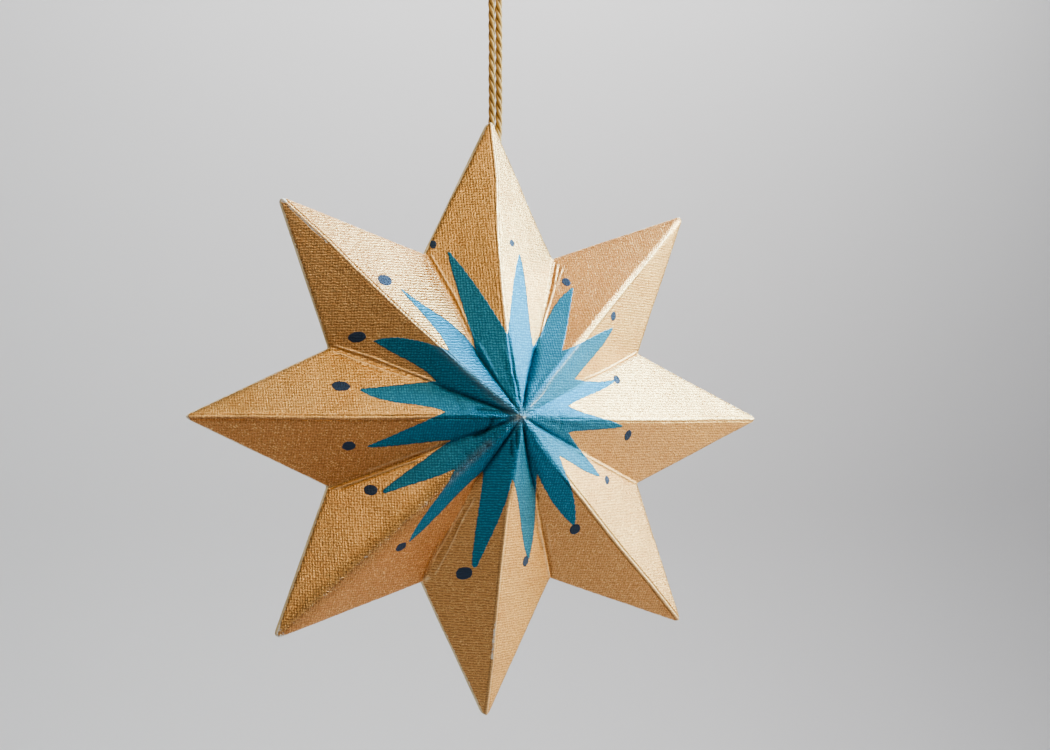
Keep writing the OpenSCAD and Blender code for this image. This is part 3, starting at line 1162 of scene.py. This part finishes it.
    def press_creases(self, form: FaceForm, moved: np.ndarray) -> None:
        """Presses the single creases and beads into the face.

        Args:
            form: the face's form, which is changed.
            moved: points of the plane after the folds have strayed.
        """
        for crease in self.creases:
            mark = bell(distance_to_path(moved, crease.path), crease.width)
            if crease.depth > 0:
                # A crease is darkened as painted shade.
                dark = min(1.0, crease.depth * 1.7) * min(1.0, 0.35 / crease.width)
                form.sink(crease.depth * mark, dark * np.square(mark))
            else:
                form.height -= crease.depth * mark
                # A standing fold is lightened, partly burnished and partly as painted highlight.
                bright = min(1.0, -crease.depth * 2.5) * mark
                form.burnish_and_highlight = np.maximum(form.burnish_and_highlight, bright)

    def wear_values(self, moved: np.ndarray, place: FacetPlace) -> dict[str, np.ndarray]:
        """How far the paint is rubbed off and smudged, by the finish's names.

        Args:
            moved: points of the plane after the folds have strayed.
            place: their places on the plain folded face.

        Returns:
            The two values of each point.
        """
        # On a rough ridge the worn band is wider; its pale flecks are partly wear and partly
        # painted glints.
        worn_width = 0.45 + 1.3 * self.ridge_values(place, "rough")
        wear = self.ridge_values(place, "wear") * np.exp(-np.square(place.from_ridge / worn_width))
        wear += self.rim_wear * np.exp(-place.from_rim / self.rim_wear_width)
        values = {"wear": wear, "smudge": np.zeros(len(moved))}
        for name, lines in (("wear", self.worn), ("smudge", self.smudges)):
            for line in lines:
                mark = bell(distance_to_path(moved, line.path), line.width)
                values[name] = np.maximum(values[name], line.strength * mark)
        return {name: np.clip(numbers, 0.0, 1.0) for name, numbers in values.items()}

    def relief(
        self, moved: np.ndarray, place: FacetPlace
    ) -> tuple[np.ndarray, dict[str, np.ndarray]]:
        """Height of the face over its plain facets, and what the finish needs to know.

        Args:
            moved: points of the plane after the folds have strayed.
            place: their places on the plain folded face.

        Returns:
            The heights, and values for the finish by name.
        """
        out = place.out
        form = self.fold_ridges(place)
        self.fold_valleys(form, place)
        self.press_creases(form, moved)
        puckered = soft((out - 0.04) / 0.1) * (1.0 - soft((out - 0.16) / 0.18))
        tuck = np.array(self.tucks)[place.facet] * bell(place.share - 0.5, self.tuck_width)
        form.height -= self.tuck_depth * tuck * puckered
        form.height += self.warp * ripples(moved, (34.0, 21.0, 13.0), self.seed) * soft(out / 0.2)
        rough = self.ridge_values(place, "rough") * np.exp(-np.square(place.from_ridge / 2.2))
        rough += 0.5 * (1.0 - soft(out / 0.3))
        crumpled = ripples(moved, (4.1, 2.3, 1.5), self.seed + 1)
        form.height += self.crumple * (1.0 + 2.5 * rough) * crumpled
        form.height -= self.rim_rounding * np.exp(-place.from_rim / self.rim_rounding_width)
        from_apex = np.hypot(*(moved - np.array(self.apex)).T)
        form.height -= self.flattened * bell(from_apex, self.flattened_r)

        values = {
            # Painted shade in the creases.
            "groove_shade": form.groove_shade,
            # Burnishing and painted highlight on the beads.
            "burnish_and_highlight": form.burnish_and_highlight,
            "rough": np.clip(rough, 0.0, 1.0),
            # Coppery painted reflection and painted shade on chosen half facets.
            "copper_and_painted_reflection": np.array(self.copper_and_painted_reflection)[place.facet],
            "laid": np.array(self.laid)[place.facet],
        }
        values |= self.wear_values(moved, place)
        if self.paint is not None:
            values |= self.paint.coverage(moved)
        return form.height, values

    def passage(self, star: np.ndarray) -> np.ndarray:
        """Height that the cord's rising leg needs over the seam at each point, or 0."""
        height = star[:, 1] - self.plan.centre_drop
        away = float(self.face.value) * star[:, 0] - self.cord.leg_x(height, self.cord.up)
        room = np.sqrt(np.maximum(self.passage_r**2 - away**2, 0.0))
        return np.where(height > self.passage_end, room, 0.0)

    def fold(self, mesh: bpy.types.Mesh) -> None:
        """Folds the flat mesh and writes the finish's values to it."""
        count = len(mesh.vertices)
        flat = np.empty(count * 3)
        mesh.vertices.foreach_get("co", flat)
        flat = flat.reshape(-1, 3)
        layer = np.round(flat[:, 2])
        place = self.plan.locate(flat[:, :2])
        flat[:, :2] = self.crowd(flat[:, :2], place)
        place = self.plan.locate(flat[:, :2])
        moved = self.stray(flat[:, :2], place)
        relief, values = self.relief(moved, place)
        rise, out = self.plan.rise, place.out
        star = np.column_stack([moved, np.zeros(count)])
        on_face = layer == self.FACE
        blunt = np.maximum(np.hypot(flat[:, 0], flat[:, 1]) - self.plan.blunt_from, 0.0)
        face_z = rise * (1.0 - out) + self.plan.rim_h + relief + self.tip_lift * blunt
        star[on_face, 2] = face_z[on_face]
        land, low = self.plan.land_share, self.inner_blend_from
        inner_z = self.inner_rise * rise * (1.0 - out)
        inner_z -= self.inner_rise * rise * (1.0 - land) * soft((out - low) / (land - low))
        inner = layer == self.INNER
        star[inner, 2] = np.maximum(inner_z[inner], 0.0)
        below = ~on_face
        star[below, 2] = np.maximum(star[below, 2], self.passage(star[below]))
        mesh.vertices.foreach_set("co", self.plan.hang(star, self.face).ravel())
        for name, numbers in values.items():
            attribute = mesh.attributes.new(name, "FLOAT", "POINT")
            attribute.data.foreach_set("value", numbers.astype(np.float32))
        self.mark_edges(mesh, layer)
        mesh.update()

    def mark_edges(self, mesh: bpy.types.Mesh, layer: np.ndarray) -> None:
        """Gives the cut edge and the inside the bare finish, and keeps the rim crisp.

        Args:
            mesh: the sheet's mesh.
            layer: the layer of each vertex.
        """
        for polygon in mesh.polygons:
            painted = bool(min(layer[index] for index in polygon.vertices) == self.FACE)
            polygon.material_index = 0 if painted else 1
            polygon.use_smooth = painted
        pairs = np.empty(len(mesh.edges) * 2, int)
        mesh.edges.foreach_get("vertices", pairs)
        ends = layer[pairs.reshape(-1, 2)]
        uses = np.zeros(len(mesh.edges), int)
        loop_edges = np.empty(len(mesh.loops), int)
        mesh.loops.foreach_get("edge_index", loop_edges)
        face_of_loop = np.repeat(
            [polygon.material_index for polygon in mesh.polygons],
            [polygon.loop_total for polygon in mesh.polygons],
        )
        np.add.at(uses, loop_edges, face_of_loop)
        rim = (ends[:, 0] == self.FACE) & (ends[:, 1] == self.FACE) & (uses == 1)
        sharp = mesh.attributes.new("sharp_edge", "BOOLEAN", "EDGE")
        sharp.data.foreach_set("value", rim)

    def build(self, finishes: Iterable[bpy.types.Material]) -> bpy.types.Object:
        """Builds the sheet and puts it in the scene.

        Args:
            finishes: the face's finish and the cut edge's.

        Returns:
            The sheet's object.
        """
        form = self.flat_form()
        mesh = bpy.data.meshes.new(self.name)
        form.to_mesh(mesh)
        form.free()
        for finish in finishes:
            mesh.materials.append(finish)
        self.fold(mesh)
        sheet = bpy.data.objects.new(self.name, mesh)
        bpy.context.scene.collection.objects.link(sheet)
        return sheet


@dataclass
class HangingCord:
    """The doubled cord: three twisted strands along one route."""

    name: str = "twisted_hanging_cord"
    route: CordRoute = field(default_factory=CordRoute)
    diameter: float = 1.8
    strands: int = 3
    strand_r: float = 0.55
    lay_length: float = 8.2
    spacing: float = 0.25
    around: int = 36
    length: float = 0.1505
    exit: tuple[float, float, float] = (0.0007, 0.0, -0.057)

    def lobed(self, turn: np.ndarray) -> np.ndarray:
        """Radius of the twisted section at each angle."""
        third = math.tau / self.strands
        away = np.mod(turn + third / 2, third) - third / 2
        middle = self.diameter / 2 - self.strand_r
        return middle * np.cos(away) + np.sqrt(self.strand_r**2 - (middle * np.sin(away)) ** 2)

    def build(self, finish: bpy.types.Material) -> bpy.types.Object:
        """Builds the cord, with its strands' crowns marked for the finish.

        Args:
            finish: the cord's finish.

        Returns:
            The cord's object.
        """
        line = self.route.smooth(self.spacing)
        count = len(line)
        form = bmesh.new()
        bmesh.ops.create_grid(
            form, x_segments=self.around, y_segments=count - 1, size=0.5, calc_uvs=True
        )
        flat = np.array([vert.co[:] for vert in form.verts])
        ring = np.rint((flat[:, 1] + 0.5) * (count - 1)).astype(int)
        section = (flat[:, 0] + 0.5) * math.tau
        ahead = np.gradient(line, axis=0)
        ahead /= np.linalg.norm(ahead, axis=1)[:, None]
        side = np.stack([ahead[:, 2], np.zeros(count), -ahead[:, 0]], axis=1)
        twist = section - ring * self.spacing * math.tau / self.lay_length
        radius = self.lobed(section)
        placed = line[ring] + radius[:, None] * (
            side[ring] * np.cos(twist)[:, None] + np.array([0.0, 1.0, 0.0]) * np.sin(twist)[:, None]
        )
        for vert, place in zip(form.verts, placed * MM):
            vert.co = place
        crown = form.verts.layers.float.new("crown")
        low = float(self.lobed(np.array([math.pi / self.strands]))[0])
        for vert, reach in zip(form.verts, radius):
            vert[crown] = (reach - low) / (self.diameter / 2 - low)
        bmesh.ops.remove_doubles(form, verts=form.verts[:], dist=1e-7)
        bmesh.ops.holes_fill(form, edges=[edge for edge in form.edges if edge.is_boundary])
        bmesh.ops.recalc_face_normals(form, faces=form.faces[:])
        for face in form.faces:
            face.smooth = True
        mesh = bpy.data.meshes.new(self.name)
        form.to_mesh(mesh)
        form.free()
        mesh.materials.append(finish)
        made = bpy.data.objects.new(self.name, mesh)
        bpy.context.scene.collection.objects.link(made)
        return made

    def declare(self) -> None:
        line = self.route.smooth(2.0) * MM


@dataclass(frozen=True)
class SoftLight:
    """A square soft light that points at the star's middle, or where aim says."""

    name: str
    direction: tuple[float, float, float]
    distance: float
    size: float
    power: float
    colour: Colour
    aim: tuple[float, float, float] = (0.0, -0.015, -0.132)


@dataclass
class Studio:
    """Camera, pale sweep and soft lights."""

    lens: float = 54.03
    camera_at: tuple[float, float, float] = (-0.12051, -0.38155, -0.12826)
    camera_turn: tuple[float, float, float] = (-1.09, 18.9, -0.78)
    ambient: Colour = (0.86, 0.92, 1.0)
    ambient_strength: float = 0.07
    sweep_colour: Colour = (0.76, 0.76, 0.76)
    sweep_half: float = 3.0
    floor_z: float = -0.75
    curve_from: float = 0.9
    curve_r: float = 0.5
    lights: tuple[SoftLight, ...] = (
        SoftLight("right_fill", (1.0, -0.05, 0.22), 1.0, 0.5, 1.72, (1.0, 0.77, 0.85)),
        SoftLight("low_right_fill", (0.95, -0.08, -0.3), 1.0, 0.5, 2.06, (1.0, 0.94, 0.6)),
        SoftLight("top_left_fill", (-0.6, -0.6, 0.55), 1.0, 0.5, 2.43, (1.0, 0.87, 0.62)),
        SoftLight("left_fill", (-0.78, -0.6, 0.05), 1.0, 0.5, 0.92, (1.0, 0.91, 0.93)),
        SoftLight("low_fill", (0.6, -0.3, -0.7), 0.5, 0.25, 0.18, (1.0, 0.81, 0.74)),
        SoftLight("front_light", (0.6, -0.55, 0.6), 1.0, 0.5, 1.75, (0.6, 0.53, 1.0)),
        SoftLight("near_right_fill", (0.95, -0.25, 0.15), 0.38, 0.19, 0.84, (0.7, 1.0, 0.99)),
        SoftLight("key_light", (0.7, -0.25, 0.66), 0.38, 0.19, 2.27, (0.54, 0.82, 1.0)),
        SoftLight("near_top_fill", (0.0, -0.45, 0.9), 0.38, 0.19, 0.41, (1.0, 0.94, 0.72)),
        SoftLight("backdrop_light", (0.0, -0.55, 1.0), 1.3, 1.2, 18.0, (1.0, 1.0, 1.0),
                  aim=(0.5, 1.4, -0.13)),
    )

    def place_camera(self) -> None:
        """Puts the camera where the photograph was taken from."""
        data = bpy.data.cameras.new("camera")
        data.lens = self.lens
        data.sensor_width = 36.0
        camera = bpy.data.objects.new("camera", data)
        bpy.context.scene.collection.objects.link(camera)
        turn_x, turn_y, turn_z = (math.radians(v) for v in self.camera_turn)
        star = (
            Matrix.Rotation(turn_z, 3, "Z")
            @ Matrix.Rotation(turn_y, 3, "Y")
            @ Matrix.Rotation(turn_x, 3, "X")
        )
        upright = Matrix.Rotation(math.pi / 2, 3, "X")
        camera.rotation_mode = "QUATERNION"
        camera.rotation_quaternion = (upright @ star.transposed()).to_quaternion()
        camera.location = self.camera_at
        data.clip_start, data.clip_end = 0.01, 20.0
        bpy.context.scene.camera = camera

    def build_sweep(self) -> None:
        """A pale floor that curves up into a wall, far behind and below the star."""
        form = bmesh.new()
        left = -self.sweep_half
        corner = form.verts.new((left, left, self.floor_z))
        last = form.verts.new((left, self.curve_from, self.floor_z))
        form.edges.new((corner, last))
        bmesh.ops.spin(
            form,
            geom=[last],
            cent=(left, self.curve_from, self.floor_z + self.curve_r),
            axis=(1.0, 0.0, 0.0),
            dvec=(0.0, 0.0, 0.0),
            angle=math.pi / 2,
            steps=16,
        )
        top = max(form.verts, key=lambda vert: vert.co.y + vert.co.z)
        wall = form.verts.new((top.co.x, top.co.y, self.sweep_half))
        form.edges.new((top, wall))
        drawn = bmesh.ops.extrude_edge_only(form, edges=form.edges[:])["geom"]
        moved = [part for part in drawn if isinstance(part, bmesh.types.BMVert)]
        bmesh.ops.translate(form, vec=(2 * self.sweep_half, 0.0, 0.0), verts=moved)
        for face in form.faces:
            face.smooth = True
        mesh = bpy.data.meshes.new("pale_sweep")
        form.to_mesh(mesh)
        form.free()
        mesh.materials.append(PlainFinish(self.sweep_colour).make("pale_sweep"))
        sweep = bpy.data.objects.new("pale_sweep", mesh)
        bpy.context.scene.collection.objects.link(sweep)

    def build_lights(self) -> None:
        """Soft lights and the even light of the room."""
        for light in self.lights:
            data = bpy.data.lights.new(light.name, "AREA")
            data.shape = "SQUARE"
            data.size = light.size
            data.energy = light.power
            data.color = light.colour
            made = bpy.data.objects.new(light.name, data)
            bpy.context.scene.collection.objects.link(made)
            away = Vector(light.direction).normalized()
            made.location = Vector(light.aim) + away * light.distance
            made.rotation_mode = "QUATERNION"
            made.rotation_quaternion = (-away).to_track_quat("-Z", "Y")
        world = bpy.data.worlds.new("studio")
        world.use_nodes = True
        background = world.node_tree.nodes["Background"]
        background.inputs["Color"].default_value = (*self.ambient, 1.0)
        background.inputs["Strength"].default_value = self.ambient_strength
        bpy.context.scene.world = world


FRONT_RIDGES = (
    Ridge(bead=0.2, bead_width=0.46, line_before=0.12, line_after=0.10),
    Ridge(bead=0.26, bead_width=0.36, line_before=0.18, line_after=0.06, wear=0.3),
    Ridge(bead=0.14, bead_width=0.35, line_before=0.08, line_after=0.10, rounding=1.7, wear=0.2),
    # Rough ridge: its wide worn band is partly wear and partly painted glints.
    Ridge(bead=0.0, line_before=0.0, line_after=0.0, rounding=0.8, rough=1.0, wear=0.43),
    Ridge(bead=0.26, bead_width=0.4, line_before=0.12, line_after=0.06, wear=0.34),
    Ridge(bead_width=0.4, line_before=0.26, line_after=0.20, rounding=1.2),
    Ridge(bead=0.2, bead_width=0.42, line_before=0.08, line_after=0.06, rounding=1.5),
    Ridge(bead=0.0, line_before=0.0, line_after=0.0, rounding=1.2, wear=0.1),
)
FRONT_VALLEYS = (
    Valley(gather=0.8, pinch=1.2),
    Valley(gather=1.1, pinch=1.0),
    Valley(gather=0.8, pinch=0.6),
    Valley(gather=0.9, pinch=0.9),
    Valley(gather=1.3, pinch=1.1),
    Valley(gather=0.5, pinch=0.9),
    Valley(gather=0.1, pinch=0.15),
    Valley(gather=1.1, pinch=1.5),
)
FRONT_DRIFTS = (
    Drift(3.5, 5.0, 3.5), Drift(5.6, 5.2, 1.0), Drift(3.0, 2.8, 1.8), Drift(-0.8, -0.8, -0.8),
    Drift(0.0, 0.4, 0.5), Drift(0.0, 0.0, 0.5), Drift(-1.0, -1.0, 0.0), Drift(-4.5, -5.0, -1.4),
    Drift(-3.0, -2.8, -1.9), Drift(-1.8, 0.0, 0.3), Drift(-5.0, -3.0, -1.3), Drift(),
    Drift(-1.0, -1.1, -0.8), Drift(0.0, 0.0, 0.4), Drift(4.0, 2.6, 1.5), Drift(2.4, 0.0, -1.3),
)
FRONT_TUCKS = (1, 0.3, 0.5, 0.9, 0.6, 1, 0.8, 0.4, 0.9, 0.7, 0.3, 0.8, 0.5, 0.3, 0.6, 0.4)
BACK_TUCKS = (0.4, 0.7, 0.3, 0.6, 0.9, 0.5, 0.8, 0.3, 0.6, 0.9, 0.4, 0.7, 0.3, 0.8, 0.5, 0.6)
FRONT_CREASES = (
    Crease(((-7.6, 17.8), (-4.0, 8.1), (-0.9, 2.6)), -0.45, 0.45),
    Crease(((-1.2, 20.2), (-0.9, 14.1), (-0.9, 11.2), (-0.3, 7.4), (-0.1, 4.1)), 0.35, 0.35),
    Crease(((6.8, 16.0), (5.2, 12.4), (3.9, 9.4)), 0.5, 0.7),
    Crease(((-14.0, 5.6), (-13.6, 3.8), (-13.1, 2.0)), 0.25, 0.4),
    Crease(((-9.5, 2.0), (-5.8, 1.7), (-2.4, 1.3)), 0.5, 0.8),
    Crease(((-24.0, 0.0), (-9.0, 0.0), (-2.0, 0.2)), 0.3, 0.3),
    Crease(((4.0, 0.2), (18.0, 0.0)), 0.14, 0.3),
    Crease(((-9.8, -4.1), (-7.7, -3.2), (-6.6, -2.2), (-6.4, 0.0)), 0.6, 0.4),
    Crease(((-12.4, -7.5), (-11.1, -9.4)), 0.3, 0.35),
    Crease(((-7.8, -5.5), (-6.9, -6.9)), 0.3, 0.35),
    Crease(((-1.2, -8.6), (-1.6, -5.0)), 0.5, 0.35),
    Crease(((-0.4, -6.2), (-0.7, -2.6)), 0.5, 0.35),
    Crease(((7.3, -14.5), (5.6, -11.4), (4.2, -8.7)), 0.5, 0.8),
    Crease(((11.2, 1.2), (11.7, -2.7)), 0.2, 0.4),
    Crease(((8.4, 0.8), (8.7, -1.4)), 0.15, 0.35),
    Crease(beside(14, (69.0, -0.1), (24.0, -0.15)), -0.18, 0.36),
    Crease(beside(6, (70.0, 0.0), (28.0, 0.0)), -0.05, 0.9),
)
# How far each front half facet turns coppery as a painted reflection of warm light that also shades
# it.
FRONT_PAINTED_REFLECTION = (0, 0, 0.1, 0, 0.95, 0.1, 0.85, 0.3, 0.1, 0.6, 0, 0.1, 0, 0, 0.8, 0)
FRONT_LAID = (0.1, 0.9, 0.3, 0.1, 0, 0.1, 0, 0.8, 0.4, 0.1, 0.3, 0.2, 0.3, 0.2, 0.1, 0.3)
FRONT_VALLEY_MARKS = (
    Crease(beside(1, (43.4, -0.97), (32, -0.84), (28, -0.42), (22, 0.34)), -0.27, 0.28),
    Crease(beside(1, (43.6, -0.25), (32, -0.08), (26, 0.25), (22, 0.5)), 0.12, 0.40),
    Crease(beside(1, (43.4, 0.67), (24, 0.9)), -0.15, 0.24),
    Crease(beside(1, (43, 1.26), (41, 1.7), (36, 1.95)), 0.17, 0.2),
    Crease(beside(3, (43, -0.92), (38, -1.2), (34, -1.35), (30, -1.2), (21, -1.1)), -0.26, 0.26),
    Crease(beside(3, (43.6, -0.25), (36, -0.25), (28, -0.42), (22, -0.5)), 0.14, 0.36),
    Crease(beside(3, (43.4, 0.38), (31, 0.38), (26, 0.17)), -0.21, 0.25),
    Crease(beside(3, (42, 0.92), (37, 1.1), (32, 1.1)), 0.22, 0.18),
    Crease(beside(5, (43.6, 0.42), (30, 0.42), (22, 0.1)), 0.32, 0.3),
    Crease(beside(5, (43.2, 0.88), (34, 0.9), (24, 0.84)), -0.22, 0.2),
    Crease(beside(5, (42, 1.43), (34, 1.34), (28, 1.13), (25, 1.39)), 0.32, 0.18),
    Crease(beside(5, (35, -0.5), (24, -0.6), (19, -0.7)), -0.20, 0.26),
    Crease(beside(7, (42, -0.84), (38, -1.4), (34, -1.75)), 0.22, 0.18),
    Crease(beside(7, (43, -0.42), (36, -1.1), (30, -1.25)), 0.21, 0.18),
    Crease(beside(7, (43.6, -0.1), (36, 0.0), (31, -0.25), (24, -0.84)), 0.14, 0.36),
    Crease(beside(7, (38, -0.63), (31, -0.84), (24, -1.2)), -0.21, 0.2),
    Crease(beside(7, (41, 1.43), (35, 1.18), (30, 0.6), (27, 0.17), (21, 0.0)), -0.24, 0.18),
    Crease(beside(7, (43.2, 0.3), (42.8, 0.5)), -0.38, 0.5),
    Crease(beside(9, (43.4, -0.3), (33, -0.38), (24, -0.42)), -0.24, 0.25),
    Crease(beside(9, (44, 0.46), (36, 0.42), (29, 0.17), (24, 0.08), (20, 0.4)), 0.36, 0.26),
    Crease(beside(9, (35, -1.0), (30, -1.26), (27, -1.2), (24, -0.9)), 0.27, 0.22),
    Crease(beside(9, (36, 1.26), (29, 1.26)), -0.09, 0.2),
    Crease(beside(11, (43.4, -0.2), (34, -0.25), (20, -0.3), (9, -0.3)), -0.27, 0.25),
    Crease(beside(11, (43, -0.84), (26, -0.84)), 0.15, 0.2),
    Crease(beside(11, (43, 0.3), (24, 0.28)), 0.15, 0.18),
    Crease(beside(13, (43.4, 0.5), (32, 0.55), (28, 0.67), (23, 1.2)), -0.24, 0.22),
    Crease(beside(13, (43.4, -0.7), (30, -0.75)), -0.14, 0.24),
    Crease(beside(13, (43.6, -0.08), (32, 0.0), (27, 0.25), (22, 0.84)), 0.24, 0.2),
    Crease(
        beside(15, (43.2, -1.26), (38, -1.6), (32, -1.26), (26, -0.7), (22, -0.42)), -0.21, 0.23
    ),
    Crease(beside(15, (43.4, -0.84), (35, -0.8), (30, -0.42), (24, -0.13), (20, -0.1)), 0.24, 0.2),
    Crease(beside(15, (43.2, -0.42), (36, -0.46), (30, -0.1)), -0.15, 0.17),
    Crease(beside(15, (43, -2.7), (40, -2.2), (38, -2.0), (36, -2.7)), -0.15, 0.26),
    Crease(beside(15, (42.5, -2.0), (38, -1.75)), 0.22, 0.22),
)
FRONT_WORN = (
    WornLine(beside(14, (25.0, 0.3), (13.5, 0.4), (9.0, -0.3), (4.0, 0.2)), 0.6, 0.6),
    WornLine(beside(2, (27.0, 0.6), (13.0, 0.45), (5.0, 0.1)), 1.1, 0.44),
    WornLine(beside(2, (73.0, 0.3), (66.0, 0.38), (60.0, 0.4)), 0.5, 0.62),
    WornLine(((-54.5, 54.5), (-52.6, 52.6)), 1.0, 1.0),
    WornLine(beside(6, (27.0, -0.3), (19.5, -0.5), (10.0, -0.6)), 1.2, 0.46),
    WornLine(beside(8, (60.0, -0.35), (50.0, -0.6)), 0.5, 0.6),
    WornLine(((-0.7, 0.3), (0.2, 0.6)), 1.5, 0.6),
    WornLine(((0.7, 0.45), (1.0, 0.5)), 0.35, 1.0),
    WornLine(((73.6, 0.0), (75.0, 0.0)), 0.8, 0.5),
)
FRONT_SMUDGES = (
    WornLine(beside(2, (27.0, 0.6), (13.0, 0.45), (3.0, 0.1)), 0.95, 0.8),
    WornLine(beside(6, (27.0, -0.3), (19.5, -0.5), (9.0, -0.6)), 1.0, 0.8),
    WornLine(beside(14, (25.0, 0.3), (13.5, 0.4), (4.0, 0.2)), 0.6, 0.8),
    WornLine(((-0.8, 0.2), (0.5, 0.8)), 1.9, 0.9),
)


def dress_front(plan: StarPlan, edge: bpy.types.Material) -> bpy.types.Object:
    """Builds the painted front sheet, hangs it under the root body and hides the nodes it replaces.

    Args:
        plan: the star's sizes.
        edge: finish of the cut edge.

    Returns:
        The sheet's object.
    """
    sheet = FoldedSheet(
        name="painted_front_sheet",
        face=Face.FRONT,
        plan=plan,
        ridges=FRONT_RIDGES,
        valleys=FRONT_VALLEYS,
        drifts=FRONT_DRIFTS,
        tucks=FRONT_TUCKS,
        copper_and_painted_reflection=FRONT_PAINTED_REFLECTION,
        laid=FRONT_LAID,
        creases=FRONT_CREASES + FRONT_VALLEY_MARKS,
        worn=FRONT_WORN,
        smudges=FRONT_SMUDGES,
        paint=PaintedStarburst(),
        cuts=95,
        seed=11,
    ).build([GoldCardFinish().make("gold_card_painted"), edge])
    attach(sheet, "root")
    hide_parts("front_shell", "starburst_paint", "dots_paint")
    return sheet


def dress_back(plan: StarPlan, edge: bpy.types.Material) -> bpy.types.Object:
    """Builds the plain gold back sheet, hangs it under the root body and hides the node it
    replaces.

    Args:
        plan: the star's sizes.
        edge: finish of the cut edge.

    Returns:
        The sheet's object.
    """
    sheet = FoldedSheet(
        name="gold_back_sheet",
        face=Face.BACK,
        plan=plan,
        ridges=tuple(Ridge(wear=0.3, rounding=0.9 + 0.15 * (i % 3)) for i in range(plan.points)),
        valleys=(Valley(bead=0.3, line=0.24),) * plan.points,
        drifts=tuple(
            Drift(1.5 - (i * 5 % 4), 1.5 - (i * 5 % 4), 0.8 - 0.5 * (i * 3 % 4))
            for i in range(2 * plan.points)
        ),
        tucks=BACK_TUCKS,
        # An even touch of the coppery painted reflection.
        copper_and_painted_reflection=(0.1,) * (2 * plan.points),
        laid=(0.2,) * (2 * plan.points),
        creases=(),
        worn=(),
        smudges=(),
        paint=None,
        cuts=63,
        seed=29,
        apex=(0.0, 0.0),
    ).build([GoldCardFinish(painted=False).make("gold_card_plain"), edge])
    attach(sheet, "root")
    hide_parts("back_shell")
    return sheet


def dress_cord() -> bpy.types.Object:
    cord = HangingCord()
    made = cord.build(CordFinish().make("ochre_twine"))
    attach(made, "root")
    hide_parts("hanging_cord")
    cord.declare()
    return made


def main() -> None:
    """Builds the studio and every piece, and reports each one."""
    logging.basicConfig(level=logging.INFO)
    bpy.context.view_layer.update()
    bpy.context.scene.view_settings.view_transform = "AgX"
    bpy.context.scene.view_settings.look = "AgX - High Contrast"
    studio = Studio()
    studio.place_camera()
    studio.build_sweep()
    studio.build_lights()
    plan = StarPlan()
    edge = CutEdgeFinish().make("bare_cut_edge")
    for piece in (dress_cord(), dress_front(plan, edge), dress_back(plan, edge)):
        LOG.info("%s: %d faces", piece.name, len(piece.data.polygons))


if __name__ == "__main__":
    main()
